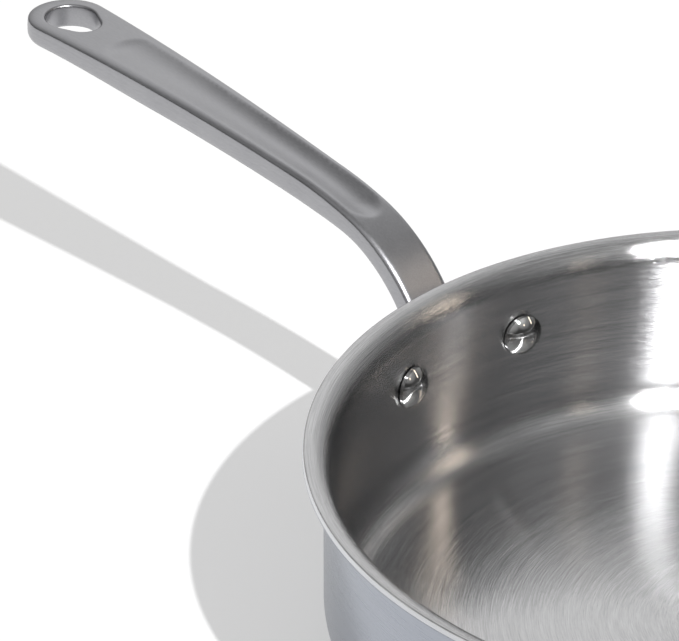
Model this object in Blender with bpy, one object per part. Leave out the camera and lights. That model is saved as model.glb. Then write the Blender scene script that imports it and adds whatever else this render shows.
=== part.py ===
"""Saute pan: a clad bowl of three bonded plies, a long cast handle and the two rivets that hold it.

Metres, +Z up. The origin is the centre of the base's underside, and the handle points along +X.
"""

import math

import bmesh
import bpy
from mathutils import Matrix

# The bowl, measured on its cooking surface
INNER_RADIUS = 0.1313
INNER_DEPTH = 0.0613
CORNER_RADIUS = 0.0108
LIP_OVERHANG = 0.0063  # from the wall's outer face to the lip's edge
LIP_BEND_RADIUS = 0.0027  # under the lip
LIP_RISE = math.radians(9)  # the lip still climbs a little on its way out

# The clad sheet, from the cooking surface outwards
COOKING_PLY = 0.00045
CORE_PLY = 0.00140
OUTER_PLY = 0.00045
BOND_GAP = 0.00005

# The rivets
RIVET_DROP = 0.0235  # from the lip's edge down to the rivets
RIVET_SPACING = 0.0496
SHANK_RADIUS = 0.0030
HEAD_RADIUS = 0.0068
HEAD_HEIGHT = 0.0042
HEAD_RIM = 0.0012  # the straight side under the head's dome
TAIL_RADIUS = 0.0055
TAIL_HEIGHT = 0.0018
SHANK_CLEARANCE = 0.0003
SEAT_GAP = 0.0002

# The handle's foot, a curved plate riveted to the wall
FOOT_THICKNESS = 0.0035
FOOT_EDGE = 0.0040  # metal round each rivet's outer head
FOOT_BEVEL = 0.0010

# The handle's neck, as its top line passes outside the lip
NECK_STANDOFF = 0.0054
NECK_DROP = 0.0084
NECK_SLOPE = math.radians(55.7)
NECK_WIDTH = 0.0183
NECK_THICKNESS = 0.0080
THICKENING_START = 0.0272  # along the top line, where the neck's thickness starts to grow into the grip's
ROOT_WIDTH = 0.0300  # where the neck grows out of the foot
ROOT_HEIGHT = 0.0105
ROOT_SINK = 0.0035  # of the root's middle below the rivets

# The top line from there to the tip, as arcs: each one's length and the slope at its end
BEND_LENGTH = 0.0389
BEND_SLOPE = math.radians(17.6)
SHOULDER_LENGTH = 0.0212
SHOULDER_SLOPE = math.radians(9.4)
GRIP_LENGTH = 0.1410
TIP_SLOPE = math.radians(2.3)

# The grip
WAIST_WIDTH = 0.0184
TAIL_WIDTH = 0.0287
GRIP_THICKNESS = 0.0096
TAIL_THICKNESS = 0.0083
TOP_EDGE_RADIUS = 0.0024
UNDER_EDGE_RADIUS = 0.0032
WIDENING = 1.12  # how late the grip widens: 1 is steady
ROUNDED_SHARE = 0.9  # of a narrow end's half width, the most that its edges take
SCOOP_DEPTH = 0.0030
SCOOP_MARGIN = 0.0026
SCOOP_FALLOFF = 1.5  # above 1, the hollow's flanks flatten out as they meet the grip's face
SCOOP_START = 0.0257
SCOOP_LENGTH = 0.1330
SCOOP_RUNOUT = 0.0300

# The egg-shaped hanging hole: its wide round end lies towards the tip
HOLE_RADIUS = 0.0089
HOLE_NARROW_RADIUS = 0.0065
HOLE_CENTRES = 0.0057
HOLE_FROM_TIP = 0.0153  # to the middle of the wide end
HOLE_BEVEL = 0.0006

# Facets
TURNS = 64
CORNER_STEPS = 6
LIP_STEPS = 5
RIVET_SIDES = 24
DOME_STEPS = 4
FOOT_STEPS = 8
LOBE_STEPS = 5
ROOT_STEPS = 5
BEND_STEPS = 8
SHOULDER_STEPS = 6
GRIP_STEPS = 16
TIP_STEPS = 7
EDGE_STEPS = 3
SCOOP_STEPS = 6
HOLE_STEPS = 16
BLUNT_STEP = 0.5  # of a step, how far short of its end a round end stops in a narrow flat
SMOOTH_UNDER = math.radians(40)
WELD_DISTANCE = 1e-7

# What follows from the sizes above
SHEET = COOKING_PLY + BOND_GAP + CORE_PLY + BOND_GAP + OUTER_PLY
WALL_RADIUS = INNER_RADIUS + SHEET
RIM_RADIUS = WALL_RADIUS + LIP_OVERHANG
RIM_HEIGHT = SHEET + INNER_DEPTH
RIVET_HEIGHT = RIM_HEIGHT - RIVET_DROP
RIVET_TURN = math.asin(RIVET_SPACING / 2 / INNER_RADIUS)
FOOT_INNER_RADIUS = WALL_RADIUS + SEAT_GAP
FOOT_OUTER_RADIUS = FOOT_INNER_RADIUS + FOOT_THICKNESS
FOOT_LOBE = TAIL_RADIUS + FOOT_EDGE
NECK_X = RIM_RADIUS + NECK_STANDOFF
NECK_Z = RIM_HEIGHT - NECK_DROP
GRIP_START = BEND_LENGTH + SHOULDER_LENGTH
TIP_RADIUS = TAIL_WIDTH / 2
TIP_CENTRE = GRIP_START + GRIP_LENGTH - TIP_RADIUS  # along the top line
HOLE_CENTRE = GRIP_START + GRIP_LENGTH - HOLE_FROM_TIP


def material(name, colour, roughness):
    result = bpy.data.materials.new(name)
    result.use_nodes = True
    shader = result.node_tree.nodes["Principled BSDF"]
    shader.inputs["Base Color"].default_value = (*colour, 1.0)
    shader.inputs["Metallic"].default_value = 1.0
    shader.inputs["Roughness"].default_value = roughness
    return result


def add_object(name, mesh, finish=None):
    obj = bpy.data.objects.new(name, mesh)
    bpy.context.scene.collection.objects.link(obj)
    if finish:
        mesh.materials.append(finish)
    return obj


def add_guide(name, mesh):
    """A hidden shape that only cuts or joins another."""
    guide = add_object(name, mesh)
    guide.hide_render = True
    guide.display_type = "WIRE"
    return guide


def combine(obj, guide, operation):
    modifier = obj.modifiers.new(f"{operation.lower()}_{guide.name}", "BOOLEAN")
    modifier.operation = operation
    modifier.solver = "EXACT"
    modifier.object = guide


def mesh_from(bm, name):
    """The bmesh as a mesh with its faces pointing out, smooth except across its sharp edges."""
    bmesh.ops.remove_doubles(bm, verts=bm.verts, dist=WELD_DISTANCE)
    bmesh.ops.recalc_face_normals(bm, faces=bm.faces)
    mesh = bpy.data.meshes.new(name)
    bm.to_mesh(mesh)
    bm.free()
    mesh.shade_smooth()
    mesh.set_sharp_from_angle(angle=SMOOTH_UNDER)
    return mesh


def turned_mesh(name, profile, sides):
    """A closed solid of revolution about Z, from (radius, height) points that start and end on the axis."""
    bm = bmesh.new()
    verts = [bm.verts.new((radius, 0.0, height)) for radius, height in profile]
    edges = [bm.edges.new(pair) for pair in zip(verts, verts[1:])]
    bmesh.ops.spin(
        bm, geom=verts + edges, cent=(0, 0, 0), axis=(0, 0, 1), angle=math.tau, steps=sides, use_merge=True
    )
    return mesh_from(bm, name)


def lofted_mesh(name, rings):
    """A closed solid through rings of equally many points, with a flat cap at each end."""
    bm = bmesh.new()
    loops = [[bm.verts.new(point) for point in ring] for ring in rings]
    for ring, after in zip(loops, loops[1:]):
        for i in range(len(ring)):
            bm.faces.new((ring[i - 1], ring[i], after[i], after[i - 1]))
    bm.faces.new(loops[0])
    bm.faces.new(loops[-1])
    return mesh_from(bm, name)


def mix(first, second, share):
    return first + (second - first) * share


def smooth_step(start, end, value):
    share = min(max((value - start) / (end - start), 0.0), 1.0)
    return share * share * (3 - 2 * share)


def sheet_line(depth):
    """(radius, height) points from the axis to the lip's edge, on the surface this deep in the sheet."""
    points = [(0.0, SHEET - depth)]
    corner_reach = CORNER_RADIUS + depth
    for i in range(CORNER_STEPS + 1):
        angle = math.pi / 2 * i / CORNER_STEPS
        radius = INNER_RADIUS - CORNER_RADIUS + corner_reach * math.sin(angle)
        points.append((radius, SHEET + CORNER_RADIUS - corner_reach * math.cos(angle)))
    flat = (LIP_OVERHANG - LIP_BEND_RADIUS + LIP_BEND_RADIUS * math.sin(LIP_RISE)) / math.cos(LIP_RISE)
    centre_radius = WALL_RADIUS + LIP_BEND_RADIUS
    centre_height = RIM_HEIGHT - (LIP_BEND_RADIUS + SHEET) * math.cos(LIP_RISE) - flat * math.sin(LIP_RISE)
    bend_reach = LIP_BEND_RADIUS + SHEET - depth
    for i in range(LIP_STEPS + 1):
        angle = (math.pi / 2 - LIP_RISE) * i / LIP_STEPS
        radius = centre_radius - bend_reach * math.cos(angle)
        points.append((radius, centre_height + bend_reach * math.sin(angle)))
    radius, height = points[-1]
    points.append((radius + flat * math.cos(LIP_RISE), height + flat * math.sin(LIP_RISE)))
    return points


def radial_matrix(turn, radius):
    """Turns a piece's own +Z into the outward radius, at this turn about the pan and the rivets' height."""
    spot = Matrix.Translation((radius * math.cos(turn), radius * math.sin(turn), RIVET_HEIGHT))
    return spot @ Matrix.Rotation(turn, 4, "Z") @ Matrix.Rotation(math.pi / 2, 4, "Y")


def rivet_places():
    return (("left", -RIVET_TURN), ("right", RIVET_TURN))


def rivet_hole_guides():
    """A cylinder through the wall and the foot at each rivet."""
    reach = 2 * (SHEET + FOOT_THICKNESS)
    radius = SHANK_RADIUS + SHANK_CLEARANCE
    profile = [(0, -reach), (radius, -reach), (radius, reach), (0, reach)]
    guides = []
    for side, turn in rivet_places():
        name = f"rivet_hole_{side}"
        guide = add_guide(name, turned_mesh(name, profile, RIVET_SIDES))
        guide.matrix_world = radial_matrix(turn, WALL_RADIUS)
        guides.append(guide)
    return guides


def make_ply(name, top, under, finish, hole_guides):
    """One layer of the sheet, between these two depths, with the rivets' holes through its wall."""
    profile = sheet_line(top) + sheet_line(under)[::-1]
    ply = add_object(name, turned_mesh(name, profile, TURNS), finish)
    for guide in hole_guides:
        combine(ply, guide, "DIFFERENCE")


def make_bowl(hole_guides):
    brushed = material("brushed_steel", (0.62, 0.62, 0.63), 0.30)
    aluminium = material("aluminium", (0.80, 0.81, 0.82), 0.45)
    satin = material("satin_steel", (0.64, 0.64, 0.68), 0.38)
    core_top = COOKING_PLY + BOND_GAP
    make_ply("cooking_surface_ply", 0.0, COOKING_PLY, brushed, hole_guides)
    make_ply("aluminium_core_ply", core_top, core_top + CORE_PLY, aluminium, hole_guides)
    make_ply("outer_steel_ply", SHEET - OUTER_PLY, SHEET, satin, hole_guides)


def dome_line(radius, height):
    """(radius, height) points over a cap of a sphere, from its rim to its crown."""
    sphere = (radius**2 + height**2) / (2 * height)
    half_angle = math.asin(radius / sphere)
    angles = [half_angle * (1 - i / DOME_STEPS) for i in range(DOME_STEPS + 1)]
    return [(sphere * math.sin(angle), sphere * math.cos(angle) - sphere + height) for angle in angles]


def make_rivets():
    """A polished dome inside the bowl, a shank through the sheet and the foot, and a flatter head outside."""
    polished = material("polished_steel", (0.72, 0.71, 0.70), 0.10)
    facet_radius = INNER_RADIUS * math.cos(math.pi / TURNS)
    head_seat = math.sqrt(facet_radius**2 - HEAD_RADIUS**2) - SEAT_GAP
    tail_seat = FOOT_OUTER_RADIUS + SEAT_GAP
    dome = dome_line(HEAD_RADIUS, HEAD_HEIGHT - HEAD_RIM)
    head = [(radius, head_seat - HEAD_RIM - height) for radius, height in dome[::-1]]
    head.append((HEAD_RADIUS, head_seat))
    tail = [(radius, tail_seat + height) for radius, height in dome_line(TAIL_RADIUS, TAIL_HEIGHT)]
    profile = head + [(SHANK_RADIUS, head_seat), (SHANK_RADIUS, tail_seat)] + tail
    for side, turn in rivet_places():
        name = f"rivet_{side}"
        rivet = add_object(name, turned_mesh(name, profile, RIVET_SIDES), polished)
        rivet.matrix_world = radial_matrix(turn, 0.0)


def foot_guide():
    """The foot's plate: round lobes about both rivets, bent to the wall."""
    stations = []
    for i in range(LOBE_STEPS):
        angle = math.pi / 2 * (LOBE_STEPS - i) / (LOBE_STEPS + BLUNT_STEP)
        turn = RIVET_TURN + FOOT_LOBE * math.sin(angle) / FOOT_OUTER_RADIUS
        stations.append((turn, FOOT_LOBE * math.cos(angle)))
    for i in range(FOOT_STEPS // 2):
        stations.append((RIVET_TURN * (1 - 2 * i / FOOT_STEPS), FOOT_LOBE))
    mirrored = [(-turn, half) for turn, half in stations[::-1]]
    widest_step = 2 * RIVET_TURN / FOOT_STEPS
    inner = FOOT_INNER_RADIUS / math.cos(widest_step / 2)
    rings = []
    for turn, half in stations + [(0.0, FOOT_LOBE)] + mirrored:
        bevel = min(FOOT_BEVEL, half / 2)
        outline = [(inner, -half), (FOOT_OUTER_RADIUS - bevel, -half), (FOOT_OUTER_RADIUS, bevel - half)]
        outline += [(radius, -height) for radius, height in outline[::-1]]
        rings.append(
            [
                (radius * math.cos(turn), radius * math.sin(turn), RIVET_HEIGHT + height)
                for radius, height in outline
            ]
        )
    return add_guide("handle_foot", lofted_mesh("handle_foot", rings))


def top_line(distance):
    """x, z and slope of the handle's top line, this far along it from where it passes the lip."""
    x, z, slope = NECK_X, NECK_Z, NECK_SLOPE
    arcs = ((BEND_LENGTH, BEND_SLOPE), (SHOULDER_LENGTH, SHOULDER_SLOPE), (GRIP_LENGTH, TIP_SLOPE))
    for length, end_slope in arcs:
        step = min(distance, length)
        bend = (end_slope - slope) / length
        after = slope + bend * step
        x += (math.sin(after) - math.sin(slope)) / bend
        z -= (math.cos(after) - math.cos(slope)) / bend
        slope = after
        distance -= step
        if distance <= 0:
            break
    return x, z, slope


def half_width(distance):
    """Half the grip's width in plan, round at the tip."""
    if distance > TIP_CENTRE:
        return math.sqrt(max(TIP_RADIUS**2 - (distance - TIP_CENTRE) ** 2, 0.0))
    if distance < GRIP_START:
        return mix(NECK_WIDTH, WAIST_WIDTH, smooth_step(0, GRIP_START, distance)) / 2
    share = (distance - GRIP_START) / (TIP_CENTRE - GRIP_START)
    return mix(WAIST_WIDTH, TAIL_WIDTH, share**WIDENING) / 2


def thickness(distance):
    thicker = mix(NECK_THICKNESS, GRIP_THICKNESS, smooth_step(THICKENING_START, GRIP_START, distance))
    return mix(thicker, TAIL_THICKNESS, smooth_step(GRIP_START + GRIP_LENGTH / 2, TIP_CENTRE, distance))


def scoop(distance, side, half):
    """How far the thumb scoop lies under the top line, this far along it and to one side."""
    reach = half - SCOOP_MARGIN
    end = SCOOP_START + SCOOP_LENGTH
    if reach <= 0 or abs(side) >= reach or not SCOOP_START < distance < end:
        return 0.0
    along = smooth_step(SCOOP_START, SCOOP_START + SCOOP_RUNOUT, distance)
    along *= smooth_step(end, end - SCOOP_RUNOUT, distance)
    return SCOOP_DEPTH * along * (1 - (side / reach) ** 2) ** SCOOP_FALLOFF


def edge_drop(radius, inset):
    """How far a rounded edge lies below the face it rounds off, this far in from the outline."""
    return radius - math.sqrt(max(radius**2 - max(radius - inset, 0.0) ** 2, 0.0))


def edge_insets(radius, half):
    """How far in from the outline the points of a rounded edge lie, less where the piece is narrow."""
    squeeze = min(1.0, ROUNDED_SHARE * half / radius)
    steps = [math.pi / 2 * i / EDGE_STEPS for i in range(EDGE_STEPS + 1)]
    return [radius * squeeze * (1 - math.cos(angle)) for angle in steps]


def cross_section(distance, half, thick):
    """(side, height) points round the handle, heights from its top line."""

    def inset(side):
        if distance > TIP_CENTRE:
            return TIP_RADIUS - math.hypot(distance - TIP_CENTRE, side)
        return half - abs(side)

    top_edge = [half - step for step in edge_insets(TOP_EDGE_RADIUS, half)]
    inner = [top_edge[-1] * (1 - 2 * i / SCOOP_STEPS) for i in range(1, SCOOP_STEPS)]
    top_sides = top_edge + inner + [-side for side in top_edge[::-1]]
    under_edge = [half - step for step in edge_insets(UNDER_EDGE_RADIUS, half)]
    under_sides = [-side for side in under_edge] + under_edge[::-1]
    points = []
    for side in top_sides:
        points.append((side, -edge_drop(TOP_EDGE_RADIUS, inset(side)) - scoop(distance, side, half)))
    for side in under_sides:
        points.append((side, edge_drop(UNDER_EDGE_RADIUS, inset(side)) - thick))
    return points


def root_ring(share):
    """A section of the neck on its way from the foot's plate to where it passes the lip."""
    middle_x = (FOOT_INNER_RADIUS + FOOT_OUTER_RADIUS) / 2
    middle_z = RIVET_HEIGHT - ROOT_SINK
    along = (math.cos(NECK_SLOPE), math.sin(NECK_SLOPE))
    under = (NECK_X + NECK_THICKNESS * along[1], NECK_Z - NECK_THICKNESS * along[0])
    ends = []
    for start_z, end in ((middle_z + ROOT_HEIGHT / 2, (NECK_X, NECK_Z)), (middle_z - ROOT_HEIGHT / 2, under)):
        pull = math.hypot(end[0] - middle_x, end[1] - start_z) / 2
        knee = (end[0] - pull * along[0], end[1] - pull * along[1])
        ends.append(
            (
                mix(mix(middle_x, knee[0], share), mix(knee[0], end[0], share), share),
                mix(mix(start_z, knee[1], share), mix(knee[1], end[1], share), share),
            )
        )
    (top_x, top_z), (under_x, under_z) = ends
    thick = math.hypot(top_x - under_x, top_z - under_z)
    half = mix(NECK_WIDTH, ROOT_WIDTH, (1 - share) ** 2) / 2
    normal = ((top_x - under_x) / thick, (top_z - under_z) / thick)
    section = cross_section(0.0, half, thick)
    return [(top_x + normal[0] * height, side, top_z + normal[1] * height) for side, height in section]


def grip_ring(distance):
    x, z, slope = top_line(distance)
    section = cross_section(distance, half_width(distance), thickness(distance))
    return [(x - math.sin(slope) * height, side, z + math.cos(slope) * height) for side, height in section]


def grip_distances():
    """Where the grip's sections lie along the top line, closer in the bends and round the tip."""
    distances = [BEND_LENGTH * i / BEND_STEPS for i in range(BEND_STEPS)]
    distances += [BEND_LENGTH + SHOULDER_LENGTH * i / SHOULDER_STEPS for i in range(SHOULDER_STEPS)]
    distances += [mix(GRIP_START, TIP_CENTRE, i / GRIP_STEPS) for i in range(GRIP_STEPS + 1)]
    for i in range(1, TIP_STEPS + 1):
        distances.append(TIP_CENTRE + TIP_RADIUS * math.sin(math.pi / 2 * i / (TIP_STEPS + BLUNT_STEP)))
    return distances


def hanging_hole_guide():
    """An egg-shaped prism through the tail, flared where it meets the two faces."""
    lean = math.asin((HOLE_RADIUS - HOLE_NARROW_RADIUS) / HOLE_CENTRES)
    wide = math.pi / 2 + lean
    outline = []
    for i in range(HOLE_STEPS + 1):
        outline.append((0.0, HOLE_RADIUS, mix(-wide, wide, i / HOLE_STEPS)))
    for i in range(HOLE_STEPS // 2 + 1):
        share = i / (HOLE_STEPS // 2)
        outline.append((-HOLE_CENTRES, HOLE_NARROW_RADIUS, mix(wide, math.tau - wide, share)))
    x, z, slope = top_line(HOLE_CENTRE)
    thick = thickness(HOLE_CENTRE)
    levels = [(thick, HOLE_BEVEL * 2), (HOLE_BEVEL, HOLE_BEVEL * 2), (-HOLE_BEVEL, 0.0)]
    levels += [(HOLE_BEVEL - thick, 0.0), (-HOLE_BEVEL - thick, HOLE_BEVEL * 2), (-2 * thick, HOLE_BEVEL * 2)]
    rings = []
    for height, flare in levels:
        ring = []
        for centre, radius, angle in outline:
            along = centre + (radius + flare) * math.cos(angle)
            side = (radius + flare) * math.sin(angle)
            level_x = x + along * math.cos(slope) - height * math.sin(slope)
            ring.append((level_x, side, z + along * math.sin(slope) + height * math.cos(slope)))
        rings.append(ring)
    return add_guide("hanging_hole", lofted_mesh("hanging_hole", rings))


def make_handle(hole_guides):
    satin = material("cast_satin_steel", (0.58, 0.58, 0.59), 0.36)
    rings = [root_ring(i / ROOT_STEPS) for i in range(ROOT_STEPS)]
    rings += [grip_ring(distance) for distance in grip_distances()]
    handle = add_object("handle", lofted_mesh("handle", rings), satin)
    combine(handle, foot_guide(), "UNION")
    for guide in hole_guides:
        combine(handle, guide, "DIFFERENCE")
    combine(handle, hanging_hole_guide(), "DIFFERENCE")


def main():
    for obj in list(bpy.data.objects):
        bpy.data.objects.remove(obj)
    hole_guides = rivet_hole_guides()
    make_bowl(hole_guides)
    make_handle(hole_guides)
    make_rivets()


main()
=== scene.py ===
"""The saute pan's looks: the finish of the bowl, the handle and the rivets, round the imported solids.

Metres, +Z up, in the frame of the solids: the origin is the centre of the base's underside, and the
handle points along +X. The bowl, the handle and the rivets are made again here from the solids' driving
sizes, with finer surfaces, a rounder lip, softer edges and a shallower scoop.
"""

import math

import bmesh
import bpy
from mathutils import Matrix, Vector
from mathutils.geometry import delaunay_2d_cdt

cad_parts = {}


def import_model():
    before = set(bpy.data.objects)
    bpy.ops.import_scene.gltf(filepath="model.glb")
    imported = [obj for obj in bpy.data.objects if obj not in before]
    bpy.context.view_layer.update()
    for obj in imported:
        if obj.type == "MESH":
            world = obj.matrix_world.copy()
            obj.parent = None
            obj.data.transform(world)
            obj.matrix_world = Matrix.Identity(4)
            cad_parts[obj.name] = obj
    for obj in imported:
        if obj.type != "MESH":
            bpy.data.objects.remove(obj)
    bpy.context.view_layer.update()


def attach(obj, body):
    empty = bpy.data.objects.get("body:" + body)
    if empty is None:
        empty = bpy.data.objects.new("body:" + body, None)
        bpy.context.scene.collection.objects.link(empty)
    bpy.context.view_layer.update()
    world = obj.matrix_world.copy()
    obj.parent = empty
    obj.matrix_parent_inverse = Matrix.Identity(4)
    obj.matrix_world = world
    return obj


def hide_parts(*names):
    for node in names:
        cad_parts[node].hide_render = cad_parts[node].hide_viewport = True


# The picture's frame, and the camera: where it stands as seen from the middle of the lip's top
SENSOR_WIDTH = 36.0
LENS = 201.18
CAMERA_AZIMUTH = math.radians(136.59)
CAMERA_ELEVATION = math.radians(28.66)
CAMERA_DISTANCE = 1.1111
CAMERA_LEFT = 0.12895
CAMERA_ABOVE = 0.03680
CAMERA_CLIP_END = 50.0

# The bowl, measured on its cooking surface
INNER_RADIUS = 0.1313
INNER_DEPTH = 0.0613
CORNER_RADIUS = 0.0108
LIP_OVERHANG = 0.0063
LIP_BEND_RADIUS = 0.0056  # under the lip
LIP_RISE = math.radians(12)
LIP_EDGE_WIDTH = 0.0007  # the rounding of the sheet's edge
LIP_EDGE_HEIGHT = 0.00025

# The clad sheet, from the cooking surface outwards
COOKING_PLY = 0.00045
CORE_PLY = 0.00140
OUTER_PLY = 0.00045
BOND_GAP = 0.00005

# The rivets
RIVET_DROP = 0.0235
RIVET_SPACING = 0.0496
SHANK_RADIUS = 0.0030
HEAD_RADIUS = 0.0068
HEAD_HEIGHT = 0.0042
HEAD_RIM = 0.0012
TAIL_HEAD_RADIUS = 0.0055
TAIL_HEAD_HEIGHT = 0.0018
SHANK_CLEARANCE = 0.0003
SEAT_GAP = 0.0002
CAD_TURNS = 64  # the solids' bowl has this many sides, so its wall lies a little further in

# The handle's foot, a curved plate riveted to the wall
FOOT_THICKNESS = 0.0035
FOOT_EDGE = 0.0040
FOOT_ROUNDING = 0.0010

# The handle's neck, as its top line passes outside the lip
NECK_STANDOFF = 0.0054
NECK_DROP = 0.0084
NECK_SLOPE = math.radians(55.7)
NECK_WIDTH = 0.0183
NECK_THICKNESS = 0.0080
THICKENING_START = 0.0272
ROOT_WIDTH = 0.0300
ROOT_HEIGHT = 0.0105
ROOT_SINK = 0.0035
ROOT_LENGTH = 0.0160  # how far along the neck the root's own curve reaches

# The top line from there to the tip, as arcs: each one's length and the slope at its end
BEND_LENGTH = 0.0389
BEND_SLOPE = math.radians(17.6)
SHOULDER_LENGTH = 0.0212
SHOULDER_SLOPE = math.radians(9.4)
GRIP_LENGTH = 0.14095
TIP_SLOPE = math.radians(2.3)

# The grip
WAIST_WIDTH = 0.0184
TAIL_WIDTH = 0.0287
GRIP_THICKNESS = 0.0096
TAIL_THICKNESS = 0.0083
TOP_EDGE_WIDTH = 0.0024  # the rounding of the top's edge, at the neck and then at the tail
TOP_EDGE_HEIGHT = 0.0015
TAIL_EDGE_WIDTH = 0.0042
TAIL_EDGE_HEIGHT = 0.0009
SIDE_DRAFT = 0.0002  # how far each side leans in, up to the top's edge
UNDER_EDGE_RADIUS = 0.0032
WIDENING = 1.12  # above 1, more of the widening comes near the tail
SCOOP_DEPTH = 0.0018
SCOOP_TAIL_DEPTH = 0.0010
SCOOP_START = 0.0330
SCOOP_END = 0.1615
SCOOP_FRONT = 0.0090  # how long its round ends are
SCOOP_BACK = 0.0060
SCOOP_RIM = 1.15  # above 1, its flanks flatten out towards its rim
SCOOP_LEAN = 0.28  # how much deeper it is towards the far side
SEAM_SHARE = 0.4  # a fine line runs along each side, this far down it
SEAM_DEPTH = 0.00010

# The egg-shaped hanging hole: its wide round end lies towards the tip
HOLE_RADIUS = 0.0089
HOLE_NARROW_RADIUS = 0.0065
HOLE_CENTRES = 0.0057
HOLE_FROM_TIP = 0.0153
HOLE_ROUNDING = 0.0009

# Steps of the fine surfaces
TURNS = 288
CORNER_STEPS = 16
WALL_STEPS = 20
FLOOR_STEPS = 24
LIP_STEPS = 24
EDGE_STEPS = 8
RIVET_SIDES = 96
DOME_STEPS = 16
GRID = 0.0011
SIDE_STEPS = 10
HOLE_STEPS = 40
WELD_DISTANCE = 1e-7
SHARP_ANGLE = math.radians(35)

# What follows from the sizes above
SHEET = COOKING_PLY + BOND_GAP + CORE_PLY + BOND_GAP + OUTER_PLY
WALL_RADIUS = INNER_RADIUS + SHEET
RIM_RADIUS = WALL_RADIUS + LIP_OVERHANG
RIM_HEIGHT = SHEET + INNER_DEPTH
RIVET_HEIGHT = RIM_HEIGHT - RIVET_DROP
RIVET_TURN = math.asin(RIVET_SPACING / 2 / INNER_RADIUS)
FOOT_INNER_RADIUS = WALL_RADIUS + SEAT_GAP
FOOT_OUTER_RADIUS = FOOT_INNER_RADIUS + FOOT_THICKNESS
FOOT_LOBE = TAIL_HEAD_RADIUS + FOOT_EDGE
FOOT_REACH = RIVET_TURN * FOOT_OUTER_RADIUS  # along the bent plate, from its middle to each rivet
NECK_X = RIM_RADIUS + NECK_STANDOFF
NECK_Z = RIM_HEIGHT - NECK_DROP
GRIP_START = BEND_LENGTH + SHOULDER_LENGTH
TIP_RADIUS = TAIL_WIDTH / 2
TIP_CENTRE = GRIP_START + GRIP_LENGTH - TIP_RADIUS
THINNING_START = GRIP_START + GRIP_LENGTH / 2
HOLE_CENTRE = GRIP_START + GRIP_LENGTH - HOLE_FROM_TIP


def mix(first, second, share):
    return first + (second - first) * share


def smooth_step(start, end, value):
    share = min(max((value - start) / (end - start), 0.0), 1.0)
    return share * share * (3 - 2 * share)


def direction(azimuth, elevation):
    level = math.cos(elevation)
    return Vector((level * math.cos(azimuth), level * math.sin(azimuth), math.sin(elevation)))


# Camera


def make_camera():
    outward = direction(CAMERA_AZIMUTH, CAMERA_ELEVATION)
    right = Vector((-math.sin(CAMERA_AZIMUTH), math.cos(CAMERA_AZIMUTH), 0.0))
    up = outward.cross(right)
    camera = bpy.data.objects.new("camera", bpy.data.cameras.new("camera"))
    camera.data.lens = LENS
    camera.data.sensor_width = SENSOR_WIDTH
    camera.data.sensor_fit = "HORIZONTAL"
    camera.data.clip_end = CAMERA_CLIP_END
    place = Vector((0, 0, RIM_HEIGHT)) + CAMERA_DISTANCE * outward - CAMERA_LEFT * right + CAMERA_ABOVE * up
    turn = Matrix((right, up, outward)).transposed()
    camera.matrix_world = Matrix.Translation(place) @ turn.to_4x4()
    bpy.context.scene.collection.objects.link(camera)
    bpy.context.scene.camera = camera


# Meshes


def mesh_from(bm, name):
    bmesh.ops.remove_doubles(bm, verts=bm.verts, dist=WELD_DISTANCE)
    bmesh.ops.recalc_face_normals(bm, faces=bm.faces)
    mesh = bpy.data.meshes.new(name)
    bm.to_mesh(mesh)
    bm.free()
    mesh.shade_smooth()
    mesh.set_sharp_from_angle(angle=SHARP_ANGLE)
    return mesh


def add_piece(node, mesh, finish):
    """Puts a mesh in the place of a node of the frame, under the node's name and _visual."""
    piece = bpy.data.objects.new(f"{node}_visual", mesh)
    bpy.context.scene.collection.objects.link(piece)
    mesh.materials.append(finish)
    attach(piece, "root")
    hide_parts(node)
    return piece


def turned_bmesh(profile, sides):
    """A closed solid of revolution about Z, from (radius, height) points that start and end on the axis."""
    bm = bmesh.new()
    rings = []
    for radius, height in profile:
        if radius < WELD_DISTANCE:
            rings.append([bm.verts.new((0.0, 0.0, height))] * sides)
            continue
        turns = [math.tau * i / sides for i in range(sides)]
        rings.append([bm.verts.new((radius * math.cos(t), radius * math.sin(t), height)) for t in turns])
    for ring, after in zip(rings, rings[1:]):
        for i in range(sides):
            corners = []
            for vert in (ring[i - 1], ring[i], after[i], after[i - 1]):
                if vert not in corners:
                    corners.append(vert)
            if len(corners) > 2:
                bm.faces.new(corners)
    return bm


def cut(obj, cutter):
    """Takes the cutter's shape out of the piece's mesh, and the cutter out of the scene."""
    modifier = obj.modifiers.new("cut", "BOOLEAN")
    modifier.operation = "DIFFERENCE"
    modifier.solver = "EXACT"
    modifier.object = cutter
    apply_modifiers(obj)
    bpy.data.objects.remove(cutter)


def apply_modifiers(obj):
    graph = bpy.context.evaluated_depsgraph_get()
    mesh = bpy.data.meshes.new_from_object(obj.evaluated_get(graph))
    obj.modifiers.clear()
    old = obj.data
    obj.data = mesh
    bpy.data.meshes.remove(old)


# The bowl


def edge_setback(depth):
    """How far the sheet's rounded edge lies behind its furthest point, this deep in the sheet."""
    short = max(1 - min(depth, SHEET - depth) / LIP_EDGE_HEIGHT, 0.0)
    return LIP_EDGE_WIDTH * (1 - math.sqrt(1 - short**2))


def lip_flat():
    """How long the lip's straight part is, past its bend."""
    bend = LIP_BEND_RADIUS * (1 - math.sin(LIP_RISE))
    return (LIP_OVERHANG - bend) / math.cos(LIP_RISE)


def bend_height():
    """How high the centre of the lip's bend lies."""
    return RIM_HEIGHT - (LIP_BEND_RADIUS + SHEET) * math.cos(LIP_RISE) - lip_flat() * math.sin(LIP_RISE)


def lip_point(depth, reach):
    """(radius, height) on the lip's straight part, this deep in the sheet and this far past the bend."""
    bend_reach = LIP_BEND_RADIUS + SHEET - depth
    radius = WALL_RADIUS + LIP_BEND_RADIUS - bend_reach * math.sin(LIP_RISE) + reach * math.cos(LIP_RISE)
    return radius, bend_height() + bend_reach * math.cos(LIP_RISE) + reach * math.sin(LIP_RISE)


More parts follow.
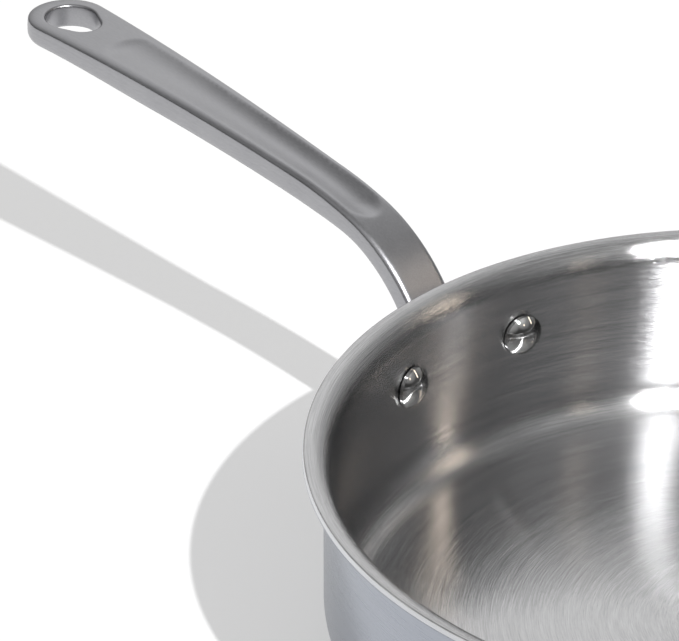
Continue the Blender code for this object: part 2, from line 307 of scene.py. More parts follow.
def sheet_line(depth):
    """(radius, height) points from the axis to the lip's edge, on the surface this deep in the sheet."""
    corner_reach = CORNER_RADIUS + depth
    corner_start = INNER_RADIUS - CORNER_RADIUS
    points = [(corner_start * i / FLOOR_STEPS, SHEET - depth) for i in range(FLOOR_STEPS)]
    for i in range(CORNER_STEPS + 1):
        angle = math.pi / 2 * i / CORNER_STEPS
        radius = corner_start + corner_reach * math.sin(angle)
        points.append((radius, SHEET + CORNER_RADIUS - corner_reach * math.cos(angle)))
    radius, wall_start = points[-1]
    bend_reach = LIP_BEND_RADIUS + SHEET - depth
    for i in range(1, WALL_STEPS):
        points.append((radius, mix(wall_start, bend_height(), i / WALL_STEPS)))
    for i in range(LIP_STEPS + 1):
        angle = (math.pi / 2 - LIP_RISE) * i / LIP_STEPS
        radius = WALL_RADIUS + LIP_BEND_RADIUS - bend_reach * math.cos(angle)
        points.append((radius, bend_height() + bend_reach * math.sin(angle)))
    return points


def ply_profile(top, under):
    """The whole outline of one layer of the sheet, from the axis round the lip's edge and back."""
    edge = []
    for i in range(EDGE_STEPS + 1):
        share = smooth_step(0.0, 1.0, i / EDGE_STEPS)
        depth = mix(top, under, share)
        edge.append(lip_point(depth, lip_flat() - edge_setback(depth)))
    return sheet_line(top) + edge + sheet_line(under)[::-1]


def radial_matrix(turn, radius):
    """Turns a piece's own +Z into the outward radius, at this turn about the pan and the rivets' height."""
    spot = Matrix.Translation((radius * math.cos(turn), radius * math.sin(turn), RIVET_HEIGHT))
    return spot @ Matrix.Rotation(turn, 4, "Z") @ Matrix.Rotation(math.pi / 2, 4, "Y")


def rivet_places():
    return (("left", -RIVET_TURN), ("right", RIVET_TURN))


def rivet_hole_cutter(turn):
    reach = 2 * (SHEET + FOOT_THICKNESS)
    radius = SHANK_RADIUS + SHANK_CLEARANCE
    profile = [(0, -reach), (radius, -reach), (radius, reach), (0, reach)]
    mesh = mesh_from(turned_bmesh(profile, RIVET_SIDES), "cutter")
    cutter = bpy.data.objects.new("cutter", mesh)
    bpy.context.scene.collection.objects.link(cutter)
    cutter.matrix_world = radial_matrix(turn, WALL_RADIUS)
    return cutter


def make_ply(node, top, under, finish):
    mesh = mesh_from(turned_bmesh(ply_profile(top, under), TURNS), node)
    ply = add_piece(node, mesh, finish)
    for _, turn in rivet_places():
        cut(ply, rivet_hole_cutter(turn))


def make_bowl():
    core_top = COOKING_PLY + BOND_GAP
    make_ply("cooking_surface_ply", 0.0, COOKING_PLY, cooking_finish())
    make_ply("aluminium_core_ply", core_top, core_top + CORE_PLY, core_finish())
    make_ply("outer_steel_ply", SHEET - OUTER_PLY, SHEET, exterior_finish())


# The rivets


def dome_line(radius, height):
    """(radius, height) points over a cap of a sphere, from its rim to its crown."""
    sphere = (radius**2 + height**2) / (2 * height)
    half_angle = math.asin(radius / sphere)
    angles = [half_angle * (1 - i / DOME_STEPS) for i in range(DOME_STEPS + 1)]
    return [(sphere * math.sin(angle), sphere * math.cos(angle) - sphere + height) for angle in angles]


def make_rivets():
    head_seat = math.sqrt((INNER_RADIUS * math.cos(math.pi / CAD_TURNS)) ** 2 - HEAD_RADIUS**2) - SEAT_GAP
    tail_seat = FOOT_OUTER_RADIUS + SEAT_GAP
    head = dome_line(HEAD_RADIUS, HEAD_HEIGHT - HEAD_RIM)
    tail = dome_line(TAIL_HEAD_RADIUS, TAIL_HEAD_HEIGHT)
    profile = [(radius, head_seat - HEAD_RIM - height) for radius, height in head[::-1]]
    profile += [(HEAD_RADIUS, head_seat), (SHANK_RADIUS, head_seat), (SHANK_RADIUS, tail_seat)]
    profile += [(radius, tail_seat + height) for radius, height in tail]
    finish = rivet_finish()
    for side, turn in rivet_places():
        mesh = mesh_from(turned_bmesh(profile, RIVET_SIDES), f"rivet_{side}")
        mesh.transform(radial_matrix(turn, 0.0))
        add_piece(f"rivet_{side}", mesh, finish)


# The handle


def top_line(distance):
    """x, z and slope of the handle's top line, this far along it from where it passes the lip."""
    x, z, slope = NECK_X, NECK_Z, NECK_SLOPE
    arcs = ((BEND_LENGTH, BEND_SLOPE), (SHOULDER_LENGTH, SHOULDER_SLOPE), (GRIP_LENGTH, TIP_SLOPE))
    for length, end_slope in arcs:
        step = min(distance, length)
        bend = (end_slope - slope) / length
        after = slope + bend * step
        x += (math.sin(after) - math.sin(slope)) / bend
        z -= (math.cos(after) - math.cos(slope)) / bend
        slope = after
        distance -= step
        if distance <= 0:
            break
    return x, z, slope


def half_width(distance):
    """Half the handle's width in plan, round at the tip."""
    if distance > TIP_CENTRE:
        return math.sqrt(max(TIP_RADIUS**2 - (distance - TIP_CENTRE) ** 2, 0.0))
    if distance < 0:
        return mix(NECK_WIDTH, ROOT_WIDTH, (distance / ROOT_LENGTH) ** 2) / 2
    if distance < GRIP_START:
        return mix(NECK_WIDTH, WAIST_WIDTH, smooth_step(0, GRIP_START, distance)) / 2
    share = (distance - GRIP_START) / (TIP_CENTRE - GRIP_START)
    return mix(WAIST_WIDTH, TAIL_WIDTH, share**WIDENING) / 2


def thickness(distance):
    thicker = mix(NECK_THICKNESS, GRIP_THICKNESS, smooth_step(THICKENING_START, GRIP_START, distance))
    return mix(thicker, TAIL_THICKNESS, smooth_step(THINNING_START, TIP_CENTRE, distance))


def top_edge(distance):
    """The width and height of the rounding of the handle's top edge, which softens towards the tail."""
    share = smooth_step(BEND_LENGTH, TIP_CENTRE, distance)
    return mix(TOP_EDGE_WIDTH, TAIL_EDGE_WIDTH, share), mix(TOP_EDGE_HEIGHT, TAIL_EDGE_HEIGHT, share)


def scoop(distance, side):
    """How far the thumb scoop lies under the top line. It has round ends, and is deepest near the neck."""
    if not SCOOP_START < distance < SCOOP_END:
        return 0.0
    reach = half_width(distance) - top_edge(distance)[0]
    front = max(SCOOP_START + SCOOP_FRONT - distance, 0.0) / SCOOP_FRONT
    back = max(distance - SCOOP_END + SCOOP_BACK, 0.0) / SCOOP_BACK
    bowl = max(1 - front**2 - back**2 - (side / reach) ** 2, 0.0)
    deepest = mix(SCOOP_DEPTH, SCOOP_TAIL_DEPTH, smooth_step(GRIP_START, SCOOP_END, distance))
    return deepest * bowl**SCOOP_RIM * (1 - SCOOP_LEAN * side / reach)


def root_frame(share):
    """The neck's top and under points in the plane of the handle, from the foot's plate to the lip."""
    middle_x = (FOOT_INNER_RADIUS + FOOT_OUTER_RADIUS) / 2
    middle_z = RIVET_HEIGHT - ROOT_SINK
    along = (math.cos(NECK_SLOPE), math.sin(NECK_SLOPE))
    under = (NECK_X + NECK_THICKNESS * along[1], NECK_Z - NECK_THICKNESS * along[0])
    ends = []
    for start_z, end in ((middle_z + ROOT_HEIGHT / 2, (NECK_X, NECK_Z)), (middle_z - ROOT_HEIGHT / 2, under)):
        pull = math.hypot(end[0] - middle_x, end[1] - start_z) / 2
        knee = (end[0] - pull * along[0], end[1] - pull * along[1])
        ends.append(
            (
                mix(mix(middle_x, knee[0], share), mix(knee[0], end[0], share), share),
                mix(mix(start_z, knee[1], share), mix(knee[1], end[1], share), share),
            )
        )
    return ends


def handle_point(distance, side, height):
    """A point on the handle: along its top line, to one side, and this far above that line."""
    if distance < 0:
        (top_x, top_z), (under_x, under_z) = root_frame(1 + distance / ROOT_LENGTH)
        share = -height / NECK_THICKNESS
        return (mix(top_x, under_x, share), side, mix(top_z, under_z, share))
    x, z, slope = top_line(distance)
    return (x - math.sin(slope) * height, side, z + math.cos(slope) * height)


def handle_outline():
    """(distance, side) points round the handle with the direction into the metal at each."""
    rows = []
    steps = round((TIP_CENTRE + ROOT_LENGTH) / GRID)
    for i in range(steps + 1):
        distance = mix(-ROOT_LENGTH, TIP_CENTRE, i / steps)
        rows.append(((distance, half_width(distance)), (0.0, -1.0)))
    arc_steps = round(math.pi * TIP_RADIUS / GRID)
    arc = []
    for i in range(1, arc_steps):
        angle = math.pi / 2 - math.pi * i / arc_steps
        spot = (TIP_CENTRE + TIP_RADIUS * math.cos(angle), TIP_RADIUS * math.sin(angle))
        arc.append((spot, (-math.cos(angle), -math.sin(angle))))
    mirrored = [((distance, -side), (0.0, 1.0)) for (distance, side), _ in rows[::-1]]
    return rows + arc + mirrored


def hole_outline():
    """(distance, side) points round the hanging hole with the direction into the metal at each."""
    lean = math.asin((HOLE_RADIUS - HOLE_NARROW_RADIUS) / HOLE_CENTRES)
    wide = math.pi / 2 + lean
    rows = []
    for i in range(HOLE_STEPS + 1):
        rows.append((HOLE_CENTRE, HOLE_RADIUS, mix(-wide, wide, i / HOLE_STEPS)))
    narrow_steps = HOLE_STEPS // 2
    flat = HOLE_CENTRES * math.cos(lean)
    flat_steps = round(flat / GRID)
    ends = ((HOLE_CENTRE, HOLE_RADIUS), (HOLE_CENTRE - HOLE_CENTRES, HOLE_NARROW_RADIUS))
    for i in range(1, flat_steps):
        share = i / flat_steps
        rows.append((mix(ends[0][0], ends[1][0], share), mix(ends[0][1], ends[1][1], share), wide))
    for i in range(narrow_steps + 1):
        rows.append((*ends[1], mix(wide, math.tau - wide, i / narrow_steps)))
    for i in range(1, flat_steps):
        share = 1 - i / flat_steps
        rows.append((mix(ends[0][0], ends[1][0], share), mix(ends[0][1], ends[1][1], share), -wide))
    outline = []
    for centre, radius, angle in rows:
        way = (math.cos(angle), math.sin(angle))
        outline.append(((centre + radius * way[0], radius * way[1]), way))
    return outline


def inside(polygon, point):
    found = False
    for (ax, ay), (bx, by) in zip(polygon, polygon[1:] + polygon[:1]):
        if (ay > point[1]) != (by > point[1]) and point[0] < ax + (bx - ax) * (point[1] - ay) / (by - ay):
            found = not found
    return found


def moved(spot, way, reach):
    return spot[0] + way[0] * reach, spot[1] + way[1] * reach


def shifted(outline, inset):
    return [moved(spot, way, inset) for spot, way in outline]


def face_patch(bm, outer, holes, spots, place):
    """Fills one face of a slab between its outlines, through the spots. Gives each outline's vertices."""
    points, edges, spans = [], [], []
    for loop in [outer, *holes]:
        start = len(points)
        points += loop
        edges += [(start + i, start + (i + 1) % len(loop)) for i in range(len(loop))]
        spans.append((start, start + len(loop)))
    points += spots
    found = delaunay_2d_cdt([Vector(point) for point in points], edges, [], 1, WELD_DISTANCE)
    coords, _, faces, origins = found[:4]
    verts = [bm.verts.new(place(*point)) for point in coords]
    for face in faces:
        middle = [sum(coords[i][axis] for i in face) / len(face) for axis in range(2)]
        if not any(inside(hole, middle) for hole in holes):
            bm.faces.new([verts[i] for i in face])
    where = {}
    for index, sources in enumerate(origins):
        for source in sources:
            where[source] = verts[index]
    return [[where[i] for i in range(*span)] for span in spans]


def rim_strip(bm, outline, top_loop, under_loop, levels_at, place):
    """Joins a slab's two faces round one outline, through each spot's own levels."""
    columns = []
    for (spot, way), top, under in zip(outline, top_loop, under_loop):
        between = [bm.verts.new(place(spot, way, level)) for level in levels_at(spot[0])]
        columns.append([top, *between, under])
    for i in range(len(columns)):
        before, after = columns[i - 1], columns[i]
        for j in range(len(after) - 1):
            bm.faces.new((before[j], after[j], after[j + 1], before[j + 1]))


def grid_spots(low, high, fits):
    """A staggered grid of the spots that fit, between two corners."""
    spots = []
    columns = range(round((high[0] - low[0]) / GRID))
    rows = range(round((high[1] - low[1]) / GRID) + 1)
    for i in columns:
        for j in rows:
            spot = (low[0] + (i + 0.5) * GRID, low[1] + (j + 0.5 * (i % 2)) * GRID)
            if fits(spot):
                spots.append(spot)
    return spots


def rounding(width, height):
    """(inset, drop) pairs over a quarter round, from the face to the side."""
    angles = [math.pi / 2 * (1 - i / EDGE_STEPS) for i in range(EDGE_STEPS + 1)]
    return [(width * (1 - math.cos(angle)), height * (1 - math.sin(angle))) for angle in angles]


def slab_levels(top_width, top_height, under_radius, draft, seam):
    """(inset, top drop, under rise, share) levels round a slab's edge, from its top face to its underside."""
    levels = [(draft + inset, drop, 0.0, 0.0) for inset, drop in rounding(top_width - draft, top_height)[1:]]
    for i in range(1, SIDE_STEPS):
        share = i / SIDE_STEPS
        leaning = draft * max(1 - share / SEAM_SHARE, 0.0)
        inset = seam if abs(share - SEAM_SHARE) < 0.5 / SIDE_STEPS else leaning
        levels.append((inset, top_height, under_radius, share))
    levels += [(inset, 0.0, drop, 1.0) for inset, drop in rounding(under_radius, under_radius)[:0:-1]]
    return levels


def handle_face(bm, outline, hole, top):
    """Fills the handle's top or its underside, up to where the edges start to round off."""
    keep_out = shifted(hole, HOLE_ROUNDING + GRID / 2)

    def edge(distance):
        return top_edge(distance)[0] if top else UNDER_EDGE_RADIUS

    def fits(spot):
        if spot[0] > TIP_CENTRE:
            inset = TIP_RADIUS - math.hypot(spot[0] - TIP_CENTRE, spot[1])
        else:
            inset = half_width(spot[0]) - abs(spot[1])
        return inset > edge(spot[0]) + GRID / 2 and not inside(keep_out, spot)

    def place(distance, side):
        height = -scoop(distance, side) if top else -thickness(distance)
        return handle_point(distance, side, height)

    outer = [moved(spot, way, edge(spot[0])) for spot, way in outline]
    low = (-ROOT_LENGTH, -ROOT_WIDTH / 2)
    high = (TIP_CENTRE + TIP_RADIUS, ROOT_WIDTH / 2)
    return face_patch(bm, outer, [shifted(hole, HOLE_ROUNDING)], grid_spots(low, high, fits), place)


def handle_blank():
    """The handle without its foot, as one slab with rounded edges and the hanging hole."""
    bm = bmesh.new()
    outline = handle_outline()
    hole = hole_outline()
    top_loops = handle_face(bm, outline, hole, True)
    under_loops = handle_face(bm, outline, hole, False)

    def edge_place(spot, way, level):
        inset, drop, rise, share = level
        distance, side = moved(spot, way, inset)
        return handle_point(distance, side, mix(-drop, rise - thickness(distance), share))

    def outer_levels(distance):
        return slab_levels(*top_edge(distance), UNDER_EDGE_RADIUS, SIDE_DRAFT, SEAM_DEPTH)

    def hole_levels(distance):
        return slab_levels(HOLE_ROUNDING, HOLE_ROUNDING, HOLE_ROUNDING, 0.0, 0.0)

    rim_strip(bm, outline, top_loops[0], under_loops[0], outer_levels, edge_place)
    rim_strip(bm, hole, top_loops[1], under_loops[1], hole_levels, edge_place)
    return mesh_from(bm, "handle")


def foot_outline():
    """(along, up) points round the foot's plate, laid flat, with the direction into the metal at each."""
    arc_steps = round(math.pi * FOOT_LOBE / GRID)
    flat_steps = round(2 * FOOT_REACH / GRID)
    outline = []
    for centre, start in ((FOOT_REACH, math.pi / 2), (-FOOT_REACH, -math.pi / 2)):
        for i in range(arc_steps + 1):
            angle = start - math.pi * i / arc_steps
            way = (math.cos(angle), math.sin(angle))
            outline.append(((centre + FOOT_LOBE * way[0], FOOT_LOBE * way[1]), (-way[0], -way[1])))
        side = FOOT_LOBE * math.sin(start - math.pi)
        for i in range(1, flat_steps):
            outline.append(((mix(centre, -centre, i / flat_steps), side), (0.0, -math.copysign(1.0, side))))
    return outline


def foot_point(along, up, radius):
    """A point of the foot's flat outline, bent to the wall at this radius."""
    turn = along / FOOT_OUTER_RADIUS
    return (radius * math.cos(turn), radius * math.sin(turn), RIVET_HEIGHT + up)


def foot_face(bm, outline, inset, radius):
    """Fills one face of the foot's plate, and gives its outline's vertices."""

    def fits(spot):
        aside = max(abs(spot[0]) - FOOT_REACH, 0.0)
        return FOOT_LOBE - math.hypot(aside, spot[1]) > inset + GRID / 2

    def place(along, up):
        return foot_point(along, up, radius)

    high = (FOOT_REACH + FOOT_LOBE, FOOT_LOBE)
    low = (-high[0], -high[1])
    return face_patch(bm, shifted(outline, inset), [], grid_spots(low, high, fits), place)[0]


def foot_mesh():
    """The foot's plate: round lobes about both rivets, bent to the wall. Its rivet holes are cut later."""
    bm = bmesh.new()
    outline = foot_outline()
    outer = foot_face(bm, outline, FOOT_ROUNDING, FOOT_OUTER_RADIUS)
    inner = foot_face(bm, outline, 0.0, FOOT_INNER_RADIUS)
    levels = rounding(FOOT_ROUNDING, FOOT_ROUNDING)[1:] + [(0.0, FOOT_THICKNESS / 2)]

    def levels_at(distance):
        return levels

    def edge_place(spot, way, level):
        inset, drop = level
        return foot_point(*moved(spot, way, inset), FOOT_OUTER_RADIUS - drop)

    rim_strip(bm, outline, outer, inner, levels_at, edge_place)
    return mesh_from(bm, "foot")


def make_handle():
    handle = add_piece("handle", handle_blank(), handle_finish())
    foot = bpy.data.objects.new("foot", foot_mesh())
    bpy.context.scene.collection.objects.link(foot)
    modifier = handle.modifiers.new("foot", "BOOLEAN")
    modifier.operation = "UNION"
    modifier.solver = "EXACT"
    modifier.object = foot
    apply_modifiers(handle)
    bpy.data.objects.remove(foot)
    for _, turn in rivet_places():
        cut(handle, rivet_hole_cutter(turn))
    handle.data.shade_smooth()
    handle.data.set_sharp_from_angle(angle=SHARP_ANGLE)


# Finishes

NOISE_RANGE = (0.3, 0.7)  # where most of a noise's values lie

# The brush lines run round the bowl, fine ones and broad ones. A pitch is the step from line to line, and a
# reach is how often the tone changes along a line, per radian
LINE_PITCH = 0.00030
LINE_REACH = 7.0
BROAD_PITCH = 0.0015
BROAD_REACH = 2.5
LINE_SHARE = 0.7  # of the fine lines in the tone, beside the broad ones
LINE_SLANT = math.radians(1.9)
LINE_RAGGEDNESS = 0.65
LINE_ROUGHNESS = 0.02
FLOOR_LINE_SHARE = 0.6  # how deep the floor's brush lines are beside the wall's
FLOOR_ROUGHER = 0.04  # how much rougher the floor is than the wall
WEAR_SCALE = 22.0
WEAR_ROUGHNESS = 0.01

# The handle's grain runs along it. These are its changes per metre
GRAIN_ALONG = 350.0
GRAIN_ACROSS = 2600.0
GRAIN_SHARE = 0.6  # of the grain in the tone, beside the clouds
GRAIN_HEIGHT = 0.000010
CLOUD_SCALE = 60.0

# Handling marks on the rivets
MARKS_RANGE = (0.35, 0.65)
MARKS_SCALE = 900.0
MARKS_HEIGHT = 0.000004


class Shader:
    """A short way to write a material's nodes."""

    def __init__(self, name):
        self.material = bpy.data.materials.new(name)
        self.material.use_nodes = True
        self.tree = self.material.node_tree
        self.surface = self.tree.nodes["Principled BSDF"]

    def node(self, kind, **settings):
        made = self.tree.nodes.new(kind)
        for key, value in settings.items():
            setattr(made, key, value)
        return made

    def link(self, source, target):
        if isinstance(source, (int, float)):
            target.default_value = source
        else:
            self.tree.links.new(source, target)

    def place(self):
        """The place on the object, as a vector and as its x, y and z."""
        vector = self.node("ShaderNodeTexCoord").outputs["Object"]
        parts = self.node("ShaderNodeSeparateXYZ")
        self.link(vector, parts.inputs[0])
        return vector, *parts.outputs

    def math(self, operation, first, second=0.0):
        made = self.node("ShaderNodeMath", operation=operation)
        self.link(first, made.inputs[0])
        self.link(second, made.inputs[1])
        return made.outputs[0]

    def add(self, first, second):
        return self.math("ADD", first, second)

    def times(self, first, second):
        return self.math("MULTIPLY", first, second)

    def blend(self, first, second, share):
        """A share of the first value, and the rest of the second."""
        return self.add(self.times(first, share), self.times(second, 1 - share))

    def combine(self, x, y, z):
        made = self.node("ShaderNodeCombineXYZ")
        for value, target in zip((x, y, z), made.inputs):
            self.link(value, target)
        return made.outputs[0]

    def noise(self, vector, scale=1.0, detail=3.0, roughness=0.5):
        made = self.node("ShaderNodeTexNoise")
        made.inputs["Scale"].default_value = scale
        made.inputs["Detail"].default_value = detail
        made.inputs["Roughness"].default_value = roughness
        self.link(vector, made.inputs["Vector"])
        return made.outputs["Fac"]

    def remap(self, value, source, low, high):
        """Stretches the source range of a value to run from low to high."""
        made = self.node("ShaderNodeMapRange")
        made.inputs["From Min"].default_value, made.inputs["From Max"].default_value = source
        made.inputs["To Min"].default_value = low
        made.inputs["To Max"].default_value = high
        self.link(value, made.inputs["Value"])
        return made.outputs["Result"]

    def colour(self, value, dark, light):
        made = self.node("ShaderNodeMix", data_type="RGBA")
        made.inputs["A"].default_value = (*dark, 1.0)
        made.inputs["B"].default_value = (*light, 1.0)
        self.link(value, made.inputs["Factor"])
        self.link(made.outputs["Result"], self.surface.inputs["Base Color"])

    def roughness(self, value):
        self.link(value, self.surface.inputs["Roughness"])

    def bump(self, height, distance):
        made = self.node("ShaderNodeBump")
        made.inputs["Strength"].default_value = 1.0
        made.inputs["Distance"].default_value = distance
        self.link(height, made.inputs["Height"])
        self.link(made.outputs["Normal"], self.surface.inputs["Normal"])

    def metal(self):
        self.surface.inputs["Metallic"].default_value = 1.0


def brushed_finish(name, dark, light, roughness, anisotropy, line_height):
    """Metal brushed round the bowl's axis: fine scratches, a slow variation and light wear."""
    shader = Shader(name)
    place, x, y, z = shader.place()
    radius = shader.math("SQRT", shader.add(shader.times(x, x), shader.times(y, y)))
    across = shader.add(radius, z)
    round_x = shader.math("DIVIDE", x, radius)
    round_y = shader.math("DIVIDE", y, radius)

    def lines_of(pitch, reach):
        """A place in a noise that changes fast across the lines and slowly along them."""
        return shader.combine(
            shader.math("DIVIDE", across, pitch), shader.times(round_x, reach), shader.times(round_y, reach)
        )

    lines = shader.noise(lines_of(LINE_PITCH, LINE_REACH), roughness=LINE_RAGGEDNESS)
    broad = shader.noise(lines_of(BROAD_PITCH, BROAD_REACH), detail=2.0)
    wear = shader.noise(place, WEAR_SCALE)
    tone = shader.blend(lines, broad, LINE_SHARE)
    shader.colour(shader.remap(tone, NOISE_RANGE, 0.0, 1.0), dark, light)
    corner = (SHEET, SHEET + CORNER_RADIUS)
    scratched = shader.remap(tone, NOISE_RANGE, -LINE_ROUGHNESS, LINE_ROUGHNESS)
    worn = shader.remap(wear, NOISE_RANGE, -WEAR_ROUGHNESS, WEAR_ROUGHNESS)
    level = shader.remap(z, corner, roughness + FLOOR_ROUGHER, roughness)
    shader.roughness(shader.add(shader.add(scratched, worn), level))
    shader.metal()
    shader.surface.inputs["Anisotropic"].default_value = anisotropy
    # In turns: a quarter from the tangent, and the lines' slant
    shader.surface.inputs["Anisotropic Rotation"].default_value = 0.25 + LINE_SLANT / math.tau
    tangent = shader.node("ShaderNodeTangent", direction_type="RADIAL", axis="Z")
    shader.link(tangent.outputs[0], shader.surface.inputs["Tangent"])
    depth = shader.remap(z, corner, FLOOR_LINE_SHARE, 1.0)
    shader.bump(shader.times(lines, depth), line_height)
    return shader.material


def cooking_finish():
    return brushed_finish(
        "brushed_steel_inside",
        dark=(0.43, 0.43, 0.435),
        light=(0.62, 0.62, 0.625),
        roughness=0.16,
        anisotropy=0.9,
        line_height=0.000100,
    )


def exterior_finish():
    return brushed_finish(
        "satin_steel_outside",
        dark=(0.335, 0.355, 0.40),
        light=(0.39, 0.41, 0.455),
        roughness=0.28,
        anisotropy=0.3,
        line_height=0.000006,
    )


def core_finish():
    return brushed_finish(
        "aluminium_core",
        dark=(0.66, 0.67, 0.69),
        light=(0.78, 0.78, 0.80),
        roughness=0.38,
        anisotropy=0.3,
        line_height=0.000004,
    )


def handle_finish():
    """Cast steel with a fine satin grain along the handle."""
    shader = Shader("cast_satin_steel")
    place, x, y, z = shader.place()
    spot = shader.combine(
        shader.times(x, GRAIN_ALONG), shader.times(y, GRAIN_ACROSS), shader.times(z, GRAIN_ACROSS)
    )
    grain = shader.noise(spot)
    tone = shader.blend(grain, shader.noise(place, CLOUD_SCALE), GRAIN_SHARE)
    spread = shader.remap(tone, NOISE_RANGE, 0.0, 1.0)
    shader.colour(spread, dark=(0.345, 0.345, 0.36), light=(0.435, 0.435, 0.45))
    shader.roughness(shader.remap(tone, NOISE_RANGE, low=0.29, high=0.39))
    shader.metal()
    shader.bump(grain, GRAIN_HEIGHT)
    return shader.material


def rivet_finish():
    """Polished steel with faint handling marks."""
    shader = Shader("polished_steel")
    marks = shader.noise(shader.place()[0], MARKS_SCALE)
    shader.colour(marks, dark=(0.66, 0.66, 0.65), light=(0.72, 0.72, 0.71))
    shader.roughness(shader.remap(marks, MARKS_RANGE, low=0.05, high=0.11))
    shader.metal()
    shader.bump(marks, MARKS_HEIGHT)
    return shader.material


# Studio

# What the lamps point at
LAMP_TARGET = Vector((0.05, 0.0, 0.03))

# The key lamp casts the shadow
KEY_AZIMUTH = math.radians(168.3)
KEY_ELEVATION = math.radians(50.3)
KEY_DISTANCE = 1.75
KEY_SIZE = 0.03
KEY_POWER = 32.0

# Two warm softboxes: a slanted strip, by its ends' azimuth and elevation, and a small square one
SOFTBOX_DISTANCE = 1.4
SOFTBOX_COLOUR = (1.0, 0.85, 0.70)
STRIP_ENDS = ((math.radians(229), math.radians(20)), (math.radians(246), math.radians(44)))
STRIP_WIDTH = 0.07
STRIP_POWER = 0.65
SIDE_AZIMUTH = math.radians(190)
SIDE_ELEVATION = math.radians(36)
SIDE_SIZE = 0.12
SIDE_POWER = 0.13

FLOOR_SIZE = 12.0
FLOOR_GAP = 0.0001  # under the pan's base
FLOOR_WHITE = 0.97  # the share of the light that it throws back
BACKDROP_SHARE = 0.45  # of plain white in the floor, as the camera and reflections see it

# The soft parts of the room, each as its level at some cosines of the angle from its middle
PALE_WALL = (
    (-1.0, 0.02),
    (0.25, 0.08),
    (0.64, 0.23),
    (0.81, 0.37),
    (0.914, 0.59),
    (0.978, 0.88),
    (1.0, 1.06),
)
LOW_WALL = ((0.87, 0.0), (0.96, 0.50), (1.0, 0.90))
KEY_SIDE_FILL = ((0.70, 0.0), (0.93, 0.28), (1.0, 0.60))
NEAR_SIDE_FILL = ((0.50, 0.0), (0.87, 0.34), (1.0, 0.55))

# The azimuth and elevation of each one's middle, in degrees
ROOM = (
    (308, 33, PALE_WALL),
    (302, 6, LOW_WALL),
    (193, 53, KEY_SIDE_FILL),
    (105, 55, NEAR_SIDE_FILL),
)


def make_floor():
    """A white floor. The camera and reflections see a share of it as plain white, whatever falls on it."""
    bm = bmesh.new()
    bmesh.ops.create_grid(bm, x_segments=1, y_segments=1, size=FLOOR_SIZE / 2)
    mesh = bpy.data.meshes.new("floor")
    bm.to_mesh(mesh)
    bm.free()
    floor = bpy.data.objects.new("floor", mesh)
    floor.location.z = -FLOOR_GAP
    bpy.context.scene.collection.objects.link(floor)
    shader = Shader("floor")
    shader.surface.inputs["Base Color"].default_value = (FLOOR_WHITE, FLOOR_WHITE, FLOOR_WHITE, 1.0)
    shader.surface.inputs["Roughness"].default_value = 1.0
    shader.surface.inputs["Specular IOR Level"].default_value = 0.0
    rays = shader.node("ShaderNodeLightPath")
    seen = shader.math("MAXIMUM", rays.outputs["Is Camera Ray"], rays.outputs["Is Glossy Ray"])
    seen = shader.math("MAXIMUM", seen, rays.outputs["Is Transmission Ray"])
    white = shader.node("ShaderNodeEmission")
    both = shader.node("ShaderNodeMixShader")
    shader.link(shader.times(seen, BACKDROP_SHARE), both.inputs[0])
    shader.link(shader.surface.outputs[0], both.inputs[1])
    shader.link(white.outputs[0], both.inputs[2])
    shader.link(both.outputs[0], shader.tree.nodes["Material Output"].inputs["Surface"])
    mesh.materials.append(shader.material)


def make_lamp(name, place, size, power, colour=(1.0, 1.0, 1.0), upright=Vector((0.0, 0.0, 1.0))):
    """A rectangular lamp that faces the pan, with its second side along the upright direction."""
    lamp = bpy.data.lights.new(name, "AREA")
    lamp.shape = "RECTANGLE"
    lamp.size, lamp.size_y = size
    lamp.energy = power
    lamp.color = colour
    obj = bpy.data.objects.new(name, lamp)
    bpy.context.scene.collection.objects.link(obj)
    back = (place - LAMP_TARGET).normalized()
    right = upright.cross(back).normalized()
    turn = Matrix((right, back.cross(right), back)).transposed()
    obj.matrix_world = Matrix.Translation(place) @ turn.to_4x4()
    return obj


def hold_level(lamp, distance):
    """The lamp lights the whole floor as strongly as it does at this distance."""
    lamp.data.use_nodes = True
    tree = lamp.data.node_tree
    falloff = tree.nodes.new("ShaderNodeLightFalloff")
    falloff.inputs["Strength"].default_value = 1 / distance**2
    tree.links.new(falloff.outputs["Constant"], tree.nodes["Emission"].inputs["Strength"])


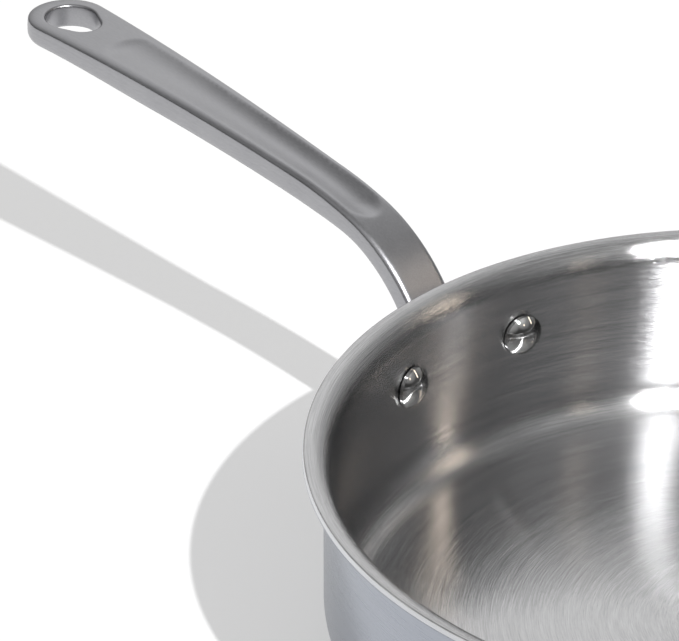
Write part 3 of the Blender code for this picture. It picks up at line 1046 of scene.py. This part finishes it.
def make_lamps():
    place = KEY_DISTANCE * direction(KEY_AZIMUTH, KEY_ELEVATION)
    key = make_lamp("key", place, (KEY_SIZE, KEY_SIZE), KEY_POWER)
    hold_level(key, KEY_DISTANCE)
    low, high = (SOFTBOX_DISTANCE * direction(*end) for end in STRIP_ENDS)
    size = (STRIP_WIDTH, (high - low).length)
    make_lamp("strip", (low + high) / 2, size, STRIP_POWER, SOFTBOX_COLOUR, high - low)
    place = SOFTBOX_DISTANCE * direction(SIDE_AZIMUTH, SIDE_ELEVATION)
    make_lamp("side", place, (SIDE_SIZE, SIDE_SIZE), SIDE_POWER, SOFTBOX_COLOUR)


def set_ramp(ramp, stops):
    ramp.interpolation = "EASE"
    ramp.elements.remove(ramp.elements[1])
    for index, (spot, level) in enumerate(stops):
        element = ramp.elements[0] if index == 0 else ramp.elements.new(spot)
        element.position = spot
        element.color = (level, level, level, 1.0)


def add_lobe(tree, place, centre, stops):
    """A level that falls off round one direction of the surroundings."""
    toward = tree.nodes.new("ShaderNodeVectorMath")
    toward.operation = "DOT_PRODUCT"
    toward.inputs[1].default_value = centre
    tree.links.new(place, toward.inputs[0])
    spread = tree.nodes.new("ShaderNodeMapRange")
    spread.inputs["From Min"].default_value = -1.0
    tree.links.new(toward.outputs["Value"], spread.inputs["Value"])
    lobe = tree.nodes.new("ShaderNodeValToRGB")
    set_ramp(lobe.color_ramp, [((1 + cosine) / 2, level) for cosine, level in stops])
    tree.links.new(spread.outputs["Result"], lobe.inputs[0])
    return lobe.outputs["Color"]


def brighter(tree, first, second):
    """At each place, the brighter one of two colours."""
    both = tree.nodes.new("ShaderNodeMix")
    both.data_type = "RGBA"
    both.blend_type = "LIGHTEN"
    both.inputs["Factor"].default_value = 1.0
    tree.links.new(first, both.inputs["A"])
    tree.links.new(second, both.inputs["B"])
    return both.outputs["Result"]


def make_world():
    """A dim room with a pale wall beyond the pan and soft fills on the other sides."""
    world = bpy.data.worlds.new("studio")
    bpy.context.scene.world = world
    world.use_nodes = True
    tree = world.node_tree
    place = tree.nodes.new("ShaderNodeTexCoord").outputs["Generated"]
    light = None
    for azimuth, elevation, stops in ROOM:
        centre = direction(math.radians(azimuth), math.radians(elevation))
        lobe = add_lobe(tree, place, centre, stops)
        light = lobe if light is None else brighter(tree, light, lobe)
    tree.links.new(light, tree.nodes["Background"].inputs["Color"])


def main():
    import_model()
    make_camera()
    make_bowl()
    make_rivets()
    make_handle()
    make_floor()
    make_world()
    make_lamps()
    view = bpy.context.scene.view_settings
    view.view_transform = "Standard"


main()
